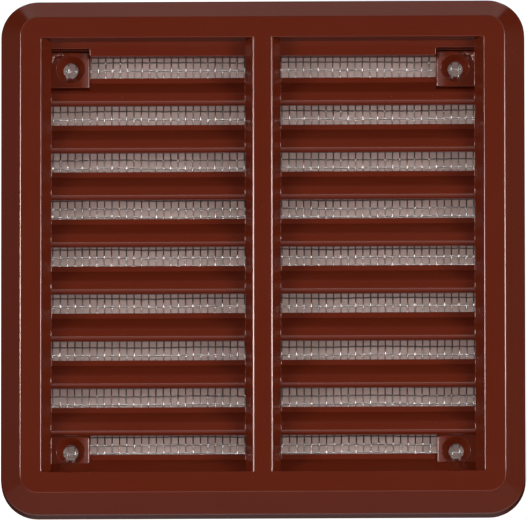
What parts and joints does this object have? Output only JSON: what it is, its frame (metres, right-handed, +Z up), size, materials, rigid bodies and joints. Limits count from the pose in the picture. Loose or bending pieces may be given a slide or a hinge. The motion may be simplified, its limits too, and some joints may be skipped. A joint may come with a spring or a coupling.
{
  "type": "ventilation grille",
  "caption": "Square brown moulded ventilation grille with fixed louvres in two bays, a woven insect screen behind them and countersunk screw bosses in the corners.",
  "frame": {"origin": "centre of the grille on the plane of the wall, which is the back of the flange's edge", "axes": "+X to the viewer's right, +Z up the grille, the front faces -Y"},
  "size_m": [0.1, 0.0082, 0.1],
  "materials": {
    "brown_plastic": "glossy moulded",
    "screen_wire": "drawn and woven wire"
  },
  "bodies": {
    "root": {"face_frame": "brown_plastic", "mullion": "brown_plastic", "top_rail_left": "brown_plastic", "top_rail_right": "brown_plastic", "louvre_left_1": "brown_plastic", "louvre_left_2": "brown_plastic", "louvre_left_3": "brown_plastic", "louvre_left_4": "brown_plastic", "louvre_left_5": "brown_plastic", "louvre_left_6": "brown_plastic", "louvre_left_7": "brown_plastic", "louvre_left_8": "brown_plastic", "louvre_right_1": "brown_plastic", "louvre_right_2": "brown_plastic", "louvre_right_3": "brown_plastic", "louvre_right_4": "brown_plastic", "louvre_right_5": "brown_plastic", "louvre_right_6": "brown_plastic", "louvre_right_7": "brown_plastic", "louvre_right_8": "brown_plastic", "sill_left": "brown_plastic", "sill_right": "brown_plastic", "screw_boss_top_left": "brown_plastic", "screw_boss_top_right": "brown_plastic", "screw_boss_bottom_left": "brown_plastic", "screw_boss_bottom_right": "brown_plastic", "screen_stakes": "brown_plastic", "screen_warp_wires": "screen_wire", "screen_weft_wires": "screen_wire"}
  },
  "joints": []
}
